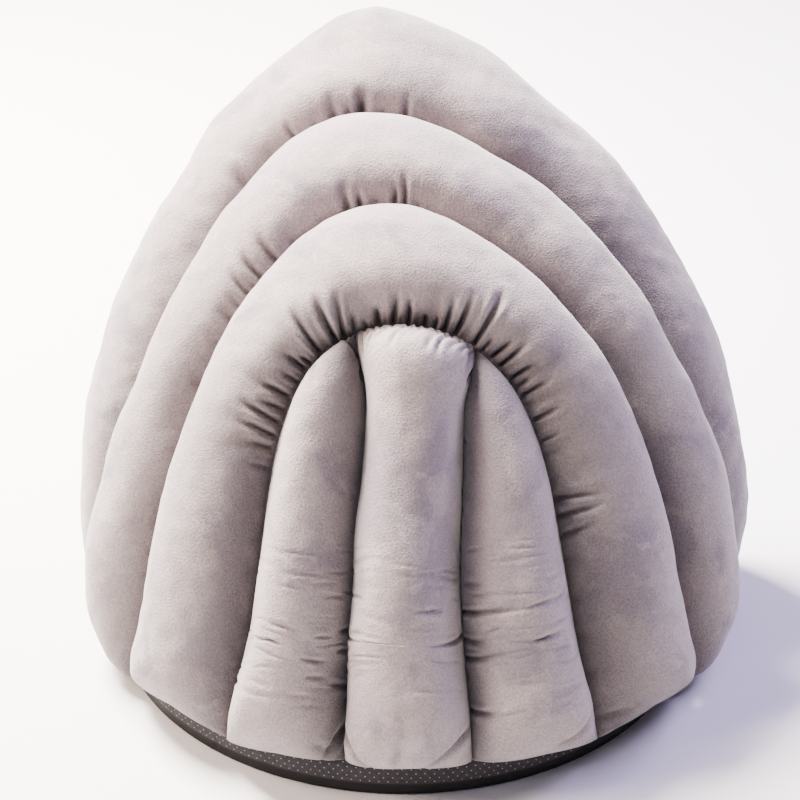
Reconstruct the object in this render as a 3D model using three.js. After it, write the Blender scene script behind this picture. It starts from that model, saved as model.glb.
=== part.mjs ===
// Shell-shaped pet cave: stuffed velvet arches round a channelled back panel, on a padded base.
// Sizes are in millimetres. +X runs across, +Y points out of the mouth and +Z is up.
// The origin is the middle of the circle on which the arches' feet stand, on the floor.
import * as THREE from 'three';

// Driving dimensions: the circle of the arches' feet, and the round base under them, which is sewn on
// a little to the left
const FOOT_RADIUS = 183;
const BASE_RADIUS = 179;
const BASE_OFF_CENTRE = -5;
const BASE_HEIGHT = 22;
const BASE_SIDES = 72;
const FLOOR_PAD_CROWN = 8;
const FLOOR_PAD_SHOULDER = 5;

// The base's outline from the floor up, then in over the floor pad. inset is how far a ring lies
// inside the base's radius.
const BASE_RINGS = [
  { height: 0, inset: 3 },
  { height: 3, inset: 0 },
  { height: 9, inset: -2 },
  { height: 16, inset: 0 },
  { height: BASE_HEIGHT, inset: 4 },
  { height: BASE_HEIGHT, inset: 58 },
  { height: BASE_HEIGHT + FLOOR_PAD_SHOULDER, inset: 78 },
  { height: BASE_HEIGHT + FLOOR_PAD_CROWN, inset: 118 },
];

// Clearance between neighbouring pieces
const GAP = 0.3;

// How far the arches' legs spread out past their feet, and the height over which that comes about
const FLARE = 15;
const FLARE_HEIGHT = 39;

// The seams between the pieces, from the back panel's edge out to the mouth.
// footAngle is degrees round the base from the back, and apexX, apexY and apexZ the top of the seam.
// shoulder and flank are the exponents of the seam's outline: more is squarer there.
// lean is how late the legs tip forward on their way up, where 1 is at once.
// flare is the seam's share of the spread, and splay how much its legs draw in above their feet.
// bulge is how far both flanks swell out half way, and leftTuck how far the left one is pulled in by
// uneven sewing.
const SEAMS = [
  {
    footAngle: 34.3, apexX: -10.5, apexY: -52, apexZ: 232.5, shoulder: 2.7, flank: 2.04,
    lean: 1.2, flare: 0, splay: 0.449, bulge: 20.2, leftTuck: -0.7,
  },
  {
    footAngle: 60.7, apexX: -17.5, apexY: 23, apexZ: 266, shoulder: 2.14, flank: 1.56,
    lean: 1.27, flare: 0, splay: 0.245, bulge: 19.6, leftTuck: 4.1,
  },
  {
    footAngle: 85.1, apexX: -29.8, apexY: 95, apexZ: 291, shoulder: 1.86, flank: 1.92,
    lean: 1.44, flare: 0.83, splay: 0.066, bulge: 1.6, leftTuck: 12,
  },
  {
    footAngle: 115, apexX: -20.5, apexY: 170, apexZ: 332, shoulder: 1.38, flank: 2.35,
    lean: 1.28, flare: 0.69, splay: 0.042, bulge: 7.6, leftTuck: -2.7,
  },
];

// The stuffed arches, each from one seam to the next. crown is how far one swells out and lining how
// far it swells in, as shares of its width. peak is where the crown is highest, as the share of the
// width from the outer seam.
const ARCHES = [
  { name: 'inner_arch', from: 0, crown: 0.33, lining: 0.17, peak: 0.44 },
  { name: 'middle_arch', from: 1, crown: 0.33, lining: 0.17, peak: 0.47 },
  { name: 'rim_arch', from: 2, crown: 0.32, lining: 0.17, peak: 0.48 },
];
const ARCH_STEPS = 56;

// The back panel's two channel seams: left and right are their places across it, up is 0 at the base
// and 1 at the panel's top edge.
const PANEL_SEAMS = [
  { up: 0.0, left: -38, right: 33 },
  { up: 0.45, left: -33, right: 27 },
  { up: 0.85, left: -26, right: 29 },
  { up: 1.0, left: -32, right: 35 },
];
const PANEL_LEAN = 1.2;
const PANEL_STEPS = 20;
const CHANNEL = { crown: 0.33, lining: 0.16, peak: 0.5 };
const CHANNEL_TIP_WIDTH = 10;
const TOP_EDGE_SHARPNESS = 4;

// Height over which each piece rounds in to its foot, and how much of its crown is left at the foot
const FOOT_ROUNDING = 40;
const FOOT_SWELL = 0.16;

// Points round the crown and round the lining of a piece's section
const CROWN_POINTS = 9;
const LINING_POINTS = 6;

// Fineness of measuring: steps along a curve, the step for its direction, and rounds of halving
const MEASURING_STEPS = 1000;
const NUDGE = 0.004;
const HALVINGS = 40;

const VELVET_COLOUR = 0xbab0ab;
const NON_SLIP_COLOUR = 0x1f1c1f;
const cloth = (colour) => new THREE.MeshStandardMaterial({ color: colour, roughness: 0.9, metalness: 0 });

const { clamp, degToRad, lerp, smoothstep } = THREE.MathUtils;
const foot = BASE_HEIGHT + GAP;

// A point on a seam: side runs from -1 at the left foot through 0 at the apex to 1 at the right foot.
function seamPoint(seam, side) {
  const angle = degToRad(seam.footAngle);
  const flare = FLARE * seam.flare;
  const across = Math.sin(Math.abs(side) * Math.PI / 2);
  const rise = Math.max(0, 1 - across ** seam.shoulder) ** (1 / seam.flank);
  const spread = (FOOT_RADIUS + flare) * Math.sin(angle) * (1 - seam.splay * rise);
  const z = lerp(foot, seam.apexZ, rise);
  const tuck = flare * Math.exp((foot - z) / FLARE_HEIGHT);
  const sign = side < 0 ? -1 : 1;
  const swell = sign * seam.bulge + (side < 0 ? seam.leftTuck : 0);
  const outline = lerp(seam.apexX, sign * spread, across) + swell * Math.sin(Math.PI * side) ** 2;
  return new THREE.Vector3(
    outline - sign * tuck * Math.sin(angle),
    lerp(-FOOT_RADIUS * Math.cos(angle), seam.apexY, rise ** seam.lean) + tuck * Math.cos(angle),
    z,
  );
}

// The closed section of a stuffed piece between two seam points. The crown swells along outward, and
// the flatter lining swells the other way.
function stuffedSection(start, end, outward, { crown, lining, peak }) {
  const across = end.clone().sub(start);
  const width = across.length();
  across.divideScalar(width);
  const from = start.clone().addScaledVector(across, GAP / 2);
  const span = width - GAP;
  const place = (share, swell) => from.clone()
    .addScaledVector(across, share * span)
    .addScaledVector(outward, swell * width);
  const skew = Math.log(peak) / Math.log(0.5);
  const points = [];
  for (let i = 0; i < CROWN_POINTS; i += 1) {
    const turn = Math.PI * i / CROWN_POINTS;
    points.push(place(((1 - Math.cos(turn)) / 2) ** skew, crown * Math.sin(turn)));
  }
  for (let i = 0; i < LINING_POINTS; i += 1) {
    const share = 1 - i / LINING_POINTS;
    points.push(place(share, -lining * Math.sin(Math.PI * share)));
  }
  return points;
}

// How much of its full crown a piece has at a height: little at its foot, all of it higher up.
function footRounding(height) {
  const climb = clamp((height - foot) / FOOT_ROUNDING, 0, 1);
  return FOOT_SWELL + (1 - FOOT_SWELL) * Math.sqrt(1 - (1 - climb) ** 2);
}

// A closed solid through a list of sections with the same number of points, capped flat at both ends.
function loft(sections) {
  const count = sections[0].length;
  const positions = sections.flat().flatMap((p) => [p.x, p.y, p.z]);
  const faces = [];
  for (let k = 0; k + 1 < sections.length; k += 1) {
    for (let i = 0; i < count; i += 1) {
      const a = k * count + i;
      const b = k * count + (i + 1) % count;
      faces.push(a, b, b + count, a, b + count, a + count);
    }
  }
  [0, sections.length - 1].forEach((k) => {
    const middle = sections[k].reduce((sum, p) => sum.add(p), new THREE.Vector3()).divideScalar(count);
    const hub = positions.length / 3;
    positions.push(middle.x, middle.y, middle.z);
    for (let i = 0; i < count; i += 1) {
      const a = k * count + i;
      const b = k * count + (i + 1) % count;
      faces.push(...(k === 0 ? [hub, b, a] : [hub, a, b]));
    }
  });
  const geometry = new THREE.BufferGeometry();
  geometry.setAttribute('position', new THREE.Float32BufferAttribute(positions, 3));
  geometry.setIndex(faces);
  geometry.computeVertexNormals();
  return geometry;
}

// Values from -1 to 1 that lie evenly by length along the curve that pointAt gives
function evenSides(pointAt, steps) {
  const lengths = [0];
  let last = pointAt(-1);
  for (let k = 1; k <= MEASURING_STEPS; k += 1) {
    const next = pointAt(2 * k / MEASURING_STEPS - 1);
    lengths.push(lengths[k - 1] + next.distanceTo(last));
    last = next;
  }
  const total = lengths[MEASURING_STEPS];
  return Array.from({ length: steps + 1 }, (_, step) => {
    const wanted = total * step / steps;
    const k = clamp(lengths.findIndex((length) => length >= wanted), 1, MEASURING_STEPS);
    const share = (wanted - lengths[k - 1]) / (lengths[k] - lengths[k - 1]);
    return 2 * (k - 1 + clamp(share, 0, 1)) / MEASURING_STEPS - 1;
  });
}

// All the arches have their sections at the same places, so that neighbours share straight edges.
const ARCH_SIDES = evenSides(
  (side) => seamPoint(SEAMS[1], side).lerp(seamPoint(SEAMS[2], side), 0.5),
  ARCH_STEPS,
);

// One stuffed arch between two neighbouring seams, from its left foot over the top to its right foot.
function archGeometry({ from, crown, lining, peak }) {
  const inner = (side) => seamPoint(SEAMS[from], side);
  const outer = (side) => seamPoint(SEAMS[from + 1], side);
  const middle = (side) => inner(side).lerp(outer(side), 0.5);
  const sections = ARCH_SIDES.map((side) => {
    const [start, end] = [outer(side), inner(side)];
    const along = middle(Math.min(1, side + NUDGE)).sub(middle(Math.max(-1, side - NUDGE)));
    const outward = end.clone().sub(start).cross(along).normalize();
    if (Math.abs(side) === 1) outward.setZ(0).normalize();
    const swell = footRounding((start.z + end.z) / 2);
    return stuffedSection(start, end, outward, { crown: crown * swell, lining, peak });
  });
  return loft(sections);
}

// Eased reading of the channel seam table at a height between 0 and 1
function panelSeamX(up, edge) {
  const next = Math.max(1, PANEL_SEAMS.findIndex((row) => row.up >= up));
  const low = PANEL_SEAMS[next - 1];
  const high = PANEL_SEAMS[next];
  return lerp(low[edge], high[edge], smoothstep(up, low.up, high.up));
}

// The value between low and high at which rising passes the target, found by halving
function halve(rising, target, low, high) {
  let [from, to] = [low, high];
  for (let i = 0; i < HALVINGS; i += 1) {
    const middle = (from + to) / 2;
    if (rising(middle) < target) from = middle;
    else to = middle;
  }
  return from;
}

// The edge of the back panel, along the straight lines between the inner arch's sections
function panelEdge(side) {
  const next = clamp(ARCH_SIDES.findIndex((value) => value >= side), 1, ARCH_STEPS);
  const [low, high] = [ARCH_SIDES[next - 1], ARCH_SIDES[next]];
  return seamPoint(SEAMS[0], low).lerp(seamPoint(SEAMS[0], high), (side - low) / (high - low));
}

// Where on the panel's top edge the channel seams end
const TOP_SIDES = {
  left: halve((side) => panelEdge(side).x, panelSeamX(1, 'left'), -1, 1),
  right: halve((side) => panelEdge(side).x, panelSeamX(1, 'right'), -1, 1),
};

// A point on a channel seam: up the panel in a curve that tips forward as it climbs
function channelSeamPoint(edge, up) {
  const base = panelSeamX(0, edge);
  const top = panelEdge(TOP_SIDES[edge]);
  const baseY = -Math.sqrt(FOOT_RADIUS ** 2 - base ** 2);
  return new THREE.Vector3(
    panelSeamX(up, edge),
    lerp(baseY, top.y, up ** PANEL_LEAN),
    lerp(foot, top.z, up),
  );
}

// The panel edge's own seam beside a side channel, at the height that the channel seam has there
function panelEdgePoint(edge, up) {
  const sign = edge === 'left' ? -1 : 1;
  const top = TOP_SIDES[edge];
  const height = lerp(foot, panelEdge(top).z, up);
  const share = halve((t) => panelEdge(lerp(sign, top, t)).z, height, 0, 1);
  return panelEdge(lerp(sign, top, share));
}

// One channel of the back panel, between two edges given as functions of the height from 0 to 1.
// topRise lifts the middle of the last sections, to follow the panel's arched top edge.
function channelGeometry(leftEdge, rightEdge, topRise) {
  const sections = [];
  for (let k = 0; k <= PANEL_STEPS; k += 1) {
    const up = k / PANEL_STEPS;
    const [start, end] = [leftEdge(up), rightEdge(up)];
    if (end.distanceTo(start) < CHANNEL_TIP_WIDTH) break;
    const above = Math.min(1, up + NUDGE);
    const below = Math.max(0, up - NUDGE);
    const climb = leftEdge(above).add(rightEdge(above)).sub(leftEdge(below)).sub(rightEdge(below));
    const outward = end.clone().sub(start).cross(climb).normalize();
    if (k === 0) outward.setZ(0).normalize();
    const swell = footRounding(start.z);
    const section = stuffedSection(start, end, outward, { ...CHANNEL, crown: CHANNEL.crown * swell });
    section.forEach((point) => {
      const across = clamp((point.x - start.x) / (end.x - start.x), 0, 1);
      point.add(topRise(across).multiplyScalar(up ** TOP_EDGE_SHARPNESS));
    });
    sections.push(section);
  }
  return loft(sections);
}

// How far the panel's arched top edge stands from the straight line between the two channel seams
function archedTop(across) {
  const onSeam = panelEdge(lerp(TOP_SIDES.left, TOP_SIDES.right, across));
  return onSeam.sub(leftSeam(1).lerp(rightSeam(1), across));
}

// The base: flat underneath, tucked in at the floor, fullest at its crest, with a crowned pad on top
function baseGeometry() {
  const sections = BASE_RINGS.map(({ height, inset }) => Array.from({ length: BASE_SIDES }, (_, i) => {
    const turn = 2 * Math.PI * i / BASE_SIDES;
    const radius = BASE_RADIUS - inset;
    return new THREE.Vector3(BASE_OFF_CENTRE + radius * Math.cos(turn), radius * Math.sin(turn), height);
  }));
  return loft(sections);
}

function named(name, geometry, colour) {
  const mesh = new THREE.Mesh(geometry, cloth(colour));
  mesh.name = name;
  return mesh;
}

const flatTop = () => new THREE.Vector3();
const leftSeam = (up) => channelSeamPoint('left', up);
const rightSeam = (up) => channelSeamPoint('right', up);
const leftPanelEdge = (up) => panelEdgePoint('left', up);
const rightPanelEdge = (up) => panelEdgePoint('right', up);

const shell = new THREE.Group();
shell.name = 'pet_cave';
ARCHES.forEach((arch) => shell.add(named(arch.name, archGeometry(arch), VELVET_COLOUR)));
shell.add(
  named('left_channel', channelGeometry(leftPanelEdge, leftSeam, flatTop), VELVET_COLOUR),
  named('centre_channel', channelGeometry(leftSeam, rightSeam, archedTop), VELVET_COLOUR),
  named('right_channel', channelGeometry(rightSeam, rightPanelEdge, flatTop), VELVET_COLOUR),
  named('base_pad', baseGeometry(), NON_SLIP_COLOUR),
);

export default shell;
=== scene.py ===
"""Looks of the shell-shaped pet cave: stuffed velvet arches, a channelled back panel and a grip-cloth base.

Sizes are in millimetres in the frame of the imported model: +X to the right as seen from behind, +Y out
of the mouth, +Z up, with the origin on the floor, at the middle of the circle the arches stand on.
"""

import logging
import math
from dataclasses import dataclass, field
from enum import Enum, IntEnum
from typing import ClassVar

import bpy
import numpy as np
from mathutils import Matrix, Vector


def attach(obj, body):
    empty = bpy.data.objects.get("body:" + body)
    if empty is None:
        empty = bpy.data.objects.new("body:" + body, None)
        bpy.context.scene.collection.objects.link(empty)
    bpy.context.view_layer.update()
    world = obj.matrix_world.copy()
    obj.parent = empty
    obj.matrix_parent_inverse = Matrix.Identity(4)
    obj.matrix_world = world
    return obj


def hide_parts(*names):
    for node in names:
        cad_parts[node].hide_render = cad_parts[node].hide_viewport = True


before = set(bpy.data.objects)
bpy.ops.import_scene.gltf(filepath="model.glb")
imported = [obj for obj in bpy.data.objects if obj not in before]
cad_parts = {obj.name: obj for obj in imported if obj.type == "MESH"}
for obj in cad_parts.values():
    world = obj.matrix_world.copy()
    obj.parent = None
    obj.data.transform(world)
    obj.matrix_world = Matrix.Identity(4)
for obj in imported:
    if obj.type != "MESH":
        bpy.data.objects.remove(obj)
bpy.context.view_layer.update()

log = logging.getLogger("pet_cave")

MM = 0.001

# The circle of the arches' feet, the base's top and the level the velvet stands on, a hair above it.
FOOT_RADIUS = 183.0
BASE_HEIGHT = 22.0
STANDING_GAP = 0.3
FOOT = BASE_HEIGHT + STANDING_GAP

# How far a seam's legs spread past that circle, and the height over which the spread dies away.
FLARE = 15.0
FLARE_HEIGHT = 39.0

# Share of its crown that a piece has at its foot, and the height at which the crown is full. A closed
# top end starts from END_SWELL in the same way. The crown is raised by what the seams are drawn in,
# but not where the piece is much narrower than NARROW.
FOOT_SWELL = 0.1
FOOT_ROUNDING = 24.0
END_SWELL = 0.15
NARROW = 5.0

# The velvet's foot over the base's edge: at angles round from the back, in degrees, how far it hangs
# down and stands out. Both die away upwards over HEM_HEIGHT.
HEM_ANGLES = (0.0, 12.0, 24.0, 35.5, 48.0, 61.5, 72.0, 82.0, 100.0, 118.0)
HEM_DROP = (0.0, 0.5, 2.5, 6.5, 6.0, 9.5, 7.0, 6.0, 3.0, 0.0)
HEM_OUT = (0.0, 2.0, 2.0, 6.0, 4.0, 11.0, 6.0, 7.0, 3.0, 0.0)
HEM_HEIGHT = 16.0

# How far the velvet sinks into the base where it stands, and how far a channel's last section goes in
# under the arch above it.
PRESSED_IN = 0.2
TUCKED_IN = np.array([0.0, 1.2, 0.9])

# The place that the thread draws the seams towards, and how far below its top an arch's legs begin.
DEN_MIDDLE = np.array([0.0, 20.0, 60.0])
SHOULDER_HEIGHT = 95.0

# Names of the two values that each velvet mesh carries for its finish: painted shade in its folds and
# seams and on the flanks beside them, from 0 to 1, and nap marks, from about -1 to 1, which are partly
# pile lying another way and partly painted shade above 0 and painted light below 0.
PAINTED_SHADE = "painted_shade"
NAP_AND_PAINTED_LIGHT = "nap_and_painted_light"

# The name of the base's map, and the range that nearly all of a noise texture's values lie in.
CLOTH_MAP = "cloth_mm"
NOISE_SPREAD = (0.3, 0.7)


def sunk(points: np.ndarray, depth: float) -> np.ndarray:
    """Draws sewn points in towards the middle of the den, level where they are low.

    Args:
        points: places in mm, with x, y and z last.
        depth: how far in they are drawn.

    Returns:
        The moved points.
    """
    inward = DEN_MIDDLE - points
    inward[..., 2] = np.minimum(inward[..., 2], 0.0)
    return points + depth * inward / np.linalg.norm(inward, axis=-1, keepdims=True)


def hemmed(points: np.ndarray) -> np.ndarray:
    """Draws the foot of the velvet out and down over the base's edge, most where a seam comes down.

    Args:
        points: places in mm, with x, y and z last.

    Returns:
        The moved points.
    """
    angle = np.degrees(np.abs(np.arctan2(points[..., 0], -points[..., 1])))
    reach = np.maximum(np.hypot(points[..., 0], points[..., 1]), 1.0)
    near = np.exp(np.minimum(FOOT - points[..., 2], 0.0) / HEM_HEIGHT)
    out = near * np.interp(angle, HEM_ANGLES, HEM_OUT)
    moved = points.copy()
    moved[..., 0] += out * points[..., 0] / reach
    moved[..., 1] += out * points[..., 1] / reach
    moved[..., 2] -= near * np.interp(angle, HEM_ANGLES, HEM_DROP)
    return moved


class Edge(Enum):
    """The edge of a stuffed piece that a crease is measured from."""

    START = "start"
    END = "end"


def linear(hex_colour: str) -> tuple[float, float, float, float]:
    """Turns an sRGB hex colour into linear light.

    Args:
        hex_colour: six hex digits after a hash.

    Returns:
        Red, green, blue and a full alpha.
    """
    parts = [int(hex_colour[i:i + 2], 16) / 255 for i in (1, 3, 5)]
    red, green, blue = (c / 12.92 if c <= 0.04045 else ((c + 0.055) / 1.055) ** 2.4 for c in parts)
    return (red, green, blue, 1.0)


def per_metre(size_mm: float) -> float:
    """Returns the texture scale at which a pattern repeats about once in size_mm."""
    return 1000.0 / size_mm


def ease(value: np.ndarray) -> np.ndarray:
    """Returns a smooth step of the values, which are clipped to 0 to 1."""
    t = np.clip(value, 0.0, 1.0)
    return t * t * (3.0 - 2.0 * t)


def rounded(share: np.ndarray, least: float) -> np.ndarray:
    """Returns a quarter round of the shares, from least at 0 up to 1 at 1 and beyond."""
    left = 1.0 - np.clip(share, 0.0, 1.0)
    return least + (1.0 - least) * np.sqrt(1.0 - left ** 2)


def mixed(top: float, low: float, leg: np.ndarray) -> np.ndarray:
    """Returns top at an arch's top and low on its legs, where leg runs from 0 to 1."""
    return top + (low - top) * leg


def lengths_along(points: np.ndarray) -> np.ndarray:
    """Measures a line of points.

    Args:
        points: the points, with x, y and z last, and the line along the first axis.

    Returns:
        The length from the first point to each point.
    """
    steps = np.linalg.norm(np.diff(points, axis=0), axis=-1)
    return np.concatenate([np.zeros_like(steps[:1]), np.cumsum(steps, axis=0)])


def lumps(points: np.ndarray, size: float, seed: int, waves: int = 24) -> np.ndarray:
    """Gives smooth seeded unevenness, as of stuffing under cloth.

    Args:
        points: places in mm, with x, y and z last.
        size: the usual distance from one lump to the next, in mm.
        seed: the seed of the directions and phases.
        waves: how many waves are added up.

    Returns:
        A value of about -1 to 1 at each point.
    """
    shortest, longest = 0.7, 1.6
    rng = np.random.default_rng(seed)
    direction = rng.normal(size=(waves, 3))
    direction /= np.linalg.norm(direction, axis=1, keepdims=True)
    pace = 2.0 * math.pi / (size * rng.uniform(shortest, longest, waves))
    phase = rng.uniform(0.0, 2.0 * math.pi, waves)
    total = np.zeros(points.shape[:-1])
    for k in range(waves):
        total += np.sin(points @ direction[k] * pace[k] + phase[k])
    return total / math.sqrt(waves)


@dataclass(frozen=True)
class Seam:
    """One sewn seam, from its left foot on the base over its apex to its right foot.

    foot_angle is in degrees round the base from the back, and apex the top of the seam. shoulder and
    flank are the exponents of its outline, lean is how late its legs tip forward, flare how far they
    spread past the foot circle and splay how much they draw in. bulge is how far both flanks swell out
    half way, left_tuck how far the left one is pulled in by uneven sewing, and sink how deep the thread
    draws the seam into the stuffing.
    """

    foot_angle: float
    apex: tuple[float, float, float]
    shoulder: float
    flank: float
    lean: float
    flare: float
    splay: float
    bulge: float = 0.0
    left_tuck: float = 0.0
    sink: float = 7.0

    def points(self, side: np.ndarray) -> np.ndarray:
        """Gives points of the seam.

        Args:
            side: from -1 at the left foot through 0 at the apex to 1 at the right foot.

        Returns:
            The points in mm, one for each side.
        """
        side = np.asarray(side, dtype=float)
        angle = math.radians(self.foot_angle)
        flare = FLARE * self.flare
        across = np.sin(np.abs(side) * math.pi / 2)
        rise = np.clip(1.0 - across ** self.shoulder, 0.0, 1.0) ** (1.0 / self.flank)
        sign = np.where(side < 0, -1.0, 1.0)
        apex_x, apex_y, apex_z = self.apex
        spread = (FOOT_RADIUS + flare) * math.sin(angle) * (1.0 - self.splay * rise)
        z = FOOT + (apex_z - FOOT) * rise
        tuck = flare * np.exp((FOOT - z) / FLARE_HEIGHT)
        x = apex_x + (sign * spread - apex_x) * across - sign * tuck * math.sin(angle)
        x += np.sin(math.pi * side) ** 2 * (sign * self.bulge + np.where(side < 0, self.left_tuck, 0.0))
        foot_y = -FOOT_RADIUS * math.cos(angle)
        y = foot_y + (apex_y - foot_y) * rise ** self.lean + tuck * math.cos(angle)
        return sunk(np.stack([x, y, z], axis=-1), self.sink)


# From the back panel's edge out to the mouth's, which hangs free and isn't drawn in.
SEAMS = (
    Seam(35.5, (-10.1, -52.0, 236.5), shoulder=2.85, flank=2.18, lean=1.2, flare=0.0, splay=0.417,
         bulge=18.8, left_tuck=-1.4),
    Seam(61.5, (-17.9, 23.0, 270.0), shoulder=2.01, flank=1.69, lean=1.39, flare=0.14, splay=0.191,
         bulge=15.4, left_tuck=4.2),
    Seam(82.4, (-29.6, 95.0, 296.0), shoulder=1.81, flank=2.15, lean=1.5, flare=1.16, splay=0.071,
         bulge=-2.7, left_tuck=12.0),
    Seam(115.0, (-20.5, 170.0, 332.0), shoulder=1.38, flank=2.35, lean=1.28, flare=0.69, splay=0.042,
         bulge=7.6, left_tuck=-2.7, sink=0.0),
)


@dataclass(frozen=True)
class Crease:
    """A valley pressed into the cloth, in mm on the piece's surface.

    along is the way from the piece's left or lower end, and inset the way in from the edge. depth is
    at the deepest point and width half across it. bow bends the crease sideways, and open_start says
    that it runs out of a seam or a foot, so that it is deepest there.

    All creases are of one make. They grow from widths[0] to widths[1] of their width, fall off from
    the valley's line with the power sharpness, and push up a low bank on each side, bank_place widths
    away. Each tail is a share of the length, and the bank fades within bank_fade mm of the edge.
    """

    edge: Edge
    along: float
    inset: float
    to_along: float
    to_inset: float
    depth: float
    width: float
    bow: float = 0.0
    open_start: bool = True
    widths: ClassVar[tuple[float, float]] = (0.75, 1.25)
    sharpness: ClassVar[float] = 1.5
    bank_rise: ClassVar[float] = 0.22
    bank_place: ClassVar[float] = 2.3
    bank_width: ClassVar[float] = 1.1
    bank_fade: ClassVar[float] = 6.0
    end_tail: ClassVar[float] = 0.55
    closed_tail: ClassVar[float] = 0.4
    open_tail: ClassVar[float] = 0.25

    def depths(self, along: np.ndarray, inset: np.ndarray) -> np.ndarray:
        """Measures the crease on a piece's surface.

        Args:
            along: how far along the piece each point is.
            inset: how far each point is from the crease's edge.

        Returns:
            How far each point sinks, or rises where it is negative.
        """
        run = np.array([self.to_along - self.along, self.to_inset - self.inset], dtype=float)
        length = float(np.hypot(*run))
        run /= length
        u = (along - self.along) * run[0] + (inset - self.inset) * run[1]
        v = (along - self.along) * run[1] - (inset - self.inset) * run[0]
        share = u / length
        v = v - self.bow * 4.0 * share * (1.0 - share)
        narrow, wide = self.widths
        width = self.width * (narrow + (wide - narrow) * np.clip(share, 0.0, 1.0))
        valley = np.exp(-(np.abs(v) / width) ** self.sharpness)
        bank = np.exp(-((np.abs(v) - self.bank_place * width) / (self.bank_width * width)) ** 2)
        taper = ease((1.0 - share) / self.end_tail)
        if self.open_start:
            taper = taper * ease((share + self.open_tail) / self.open_tail)
        else:
            taper = taper * ease(share / self.closed_tail)
        return self.depth * taper * (valley - self.bank_rise * bank * ease(inset / self.bank_fade))


@dataclass(frozen=True)
class NapAndPaintedLightMark:
    """A nap mark on the velvet, in mm on the piece's surface: partly a patch where the pile lies another
    way, and partly painted shade and painted light.

    width is half across it, and turn is about 1 for a darker mark and -1 for a lighter one.
    """

    edge: Edge
    along: float
    inset: float
    to_along: float
    to_inset: float
    width: float
    turn: float

    def marks(self, along: np.ndarray, inset: np.ndarray) -> np.ndarray:
        """Returns how far the pile is turned at points of the surface."""
        run = np.array([self.to_along - self.along, self.to_inset - self.inset], dtype=float)
        share = ((along - self.along) * run[0] + (inset - self.inset) * run[1]) / float(run @ run)
        share = np.clip(share, 0.0, 1.0)
        away = np.hypot(along - self.along - share * run[0], inset - self.inset - share * run[1])
        return self.turn * np.exp(-(away / self.width) ** 2)


@dataclass(frozen=True)
class Puckers:
    """Small gathers all along a stretch of an edge, as the sewing draws the cloth in.

    first and last bound the stretch, spacing is the usual way from one to the next, and depth, reach
    and width are their sizes, all in mm. They start just outside the edge, at minus overrun. The pairs
    bound the shares that each size and spacing may have, and lean and bow are the usual ones.
    """

    edge: Edge
    first: float
    last: float
    spacing: float
    depth: float
    reach: float
    width: float
    seed: int
    overrun: ClassVar[float] = 1.0
    starts: ClassVar[tuple[float, float]] = (0.2, 0.8)
    sizes: ClassVar[tuple[float, float]] = (0.45, 1.0)
    reaches: ClassVar[tuple[float, float]] = (0.8, 1.2)
    widths: ClassVar[tuple[float, float]] = (0.8, 1.3)
    spacings: ClassVar[tuple[float, float]] = (0.6, 1.5)
    lean: ClassVar[float] = 0.22
    bow: ClassVar[float] = 0.8

    def creases(self) -> list[Crease]:
        """Returns a seeded crease for each pucker."""
        rng = np.random.default_rng(self.seed)
        rows = []
        place = self.first + self.spacing * rng.uniform(*self.starts)
        while place < self.last:
            size = rng.uniform(*self.sizes)
            reach = self.reach * size * rng.uniform(*self.reaches)
            to_place = place + rng.normal() * self.lean * reach
            width = self.width * rng.uniform(*self.widths)
            rows.append(Crease(
                self.edge, place, -self.overrun, to_place, reach, self.depth * size, width,
                bow=rng.normal() * self.bow,
            ))
            place += self.spacing * rng.uniform(*self.spacings)
        return rows


@dataclass(frozen=True)
class Wrinkles:
    """Faint short wrinkles across a piece where its filling has settled.

    first and last bound the stretch they lie in, number is how many there are, and depth and length
    are their usual sizes, in mm. insets bound how far in they start, and the other pairs the shares
    that each size may have. slant and bow are the usual ones, in mm.
    """

    first: float
    last: float
    number: int
    depth: float
    length: float
    width: float
    seed: int
    insets: ClassVar[tuple[float, float]] = (4.0, 38.0)
    lengths: ClassVar[tuple[float, float]] = (0.6, 1.4)
    depths: ClassVar[tuple[float, float]] = (0.4, 1.0)
    widths: ClassVar[tuple[float, float]] = (0.8, 1.4)
    slant: ClassVar[float] = 2.0
    bow: ClassVar[float] = 1.0

    def creases(self) -> list[Crease]:
        """Returns a seeded crease for each wrinkle."""
        rng = np.random.default_rng(self.seed)
        rows = []
        for _ in range(self.number):
            edge = Edge.START if rng.random() < 0.5 else Edge.END
            along = rng.uniform(self.first, self.last)
            inset = rng.uniform(*self.insets)
            length = self.length * rng.uniform(*self.lengths)
            depth = self.depth * rng.uniform(*self.depths)
            width = self.width * rng.uniform(*self.widths)
            rows.append(Crease(
                edge, along, inset, along + rng.normal() * self.slant, inset + length, depth, width,
                bow=rng.normal() * self.bow, open_start=False,
            ))
        return rows


def gathers(rows: list[tuple[float, float, float, float, float]]) -> list[Crease]:
    """Turns gathers of an arch's inner edge into creases.

    Args:
        rows: for each gather, where along the seam it starts, where along the arch it ends, how far
            it reaches in, its depth and its width, in mm, as they look. A crease fades at its end and
            has soft sides, so it is made longer, deeper and narrower than that.

    Returns:
        The creases.
    """
    longer, deeper, narrower = 1.2, 1.15, 0.78
    return [
        Crease(Edge.END, at, 0.0, to, longer * reach, deeper * depth, narrower * width)
        for at, to, reach, depth, width in rows
    ]


def add_node(tree: bpy.types.NodeTree, kind: str, settings: dict | None = None,
             inputs: dict | None = None) -> bpy.types.Node:
    """Adds a node to a tree.

    Args:
        tree: the tree of a material.
        kind: the node's Blender type.
        settings: values for the node's own properties, by name.
        inputs: for each input, by name or number, a value or the output that feeds it.

    Returns:
        The new node.
    """
    node = tree.nodes.new(kind)
    for key, value in (settings or {}).items():
        setattr(node, key, value)
    for key, value in (inputs or {}).items():
        if isinstance(value, bpy.types.NodeSocket):
            tree.links.new(value, node.inputs[key])
        else:
            node.inputs[key].default_value = value
    return node


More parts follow.
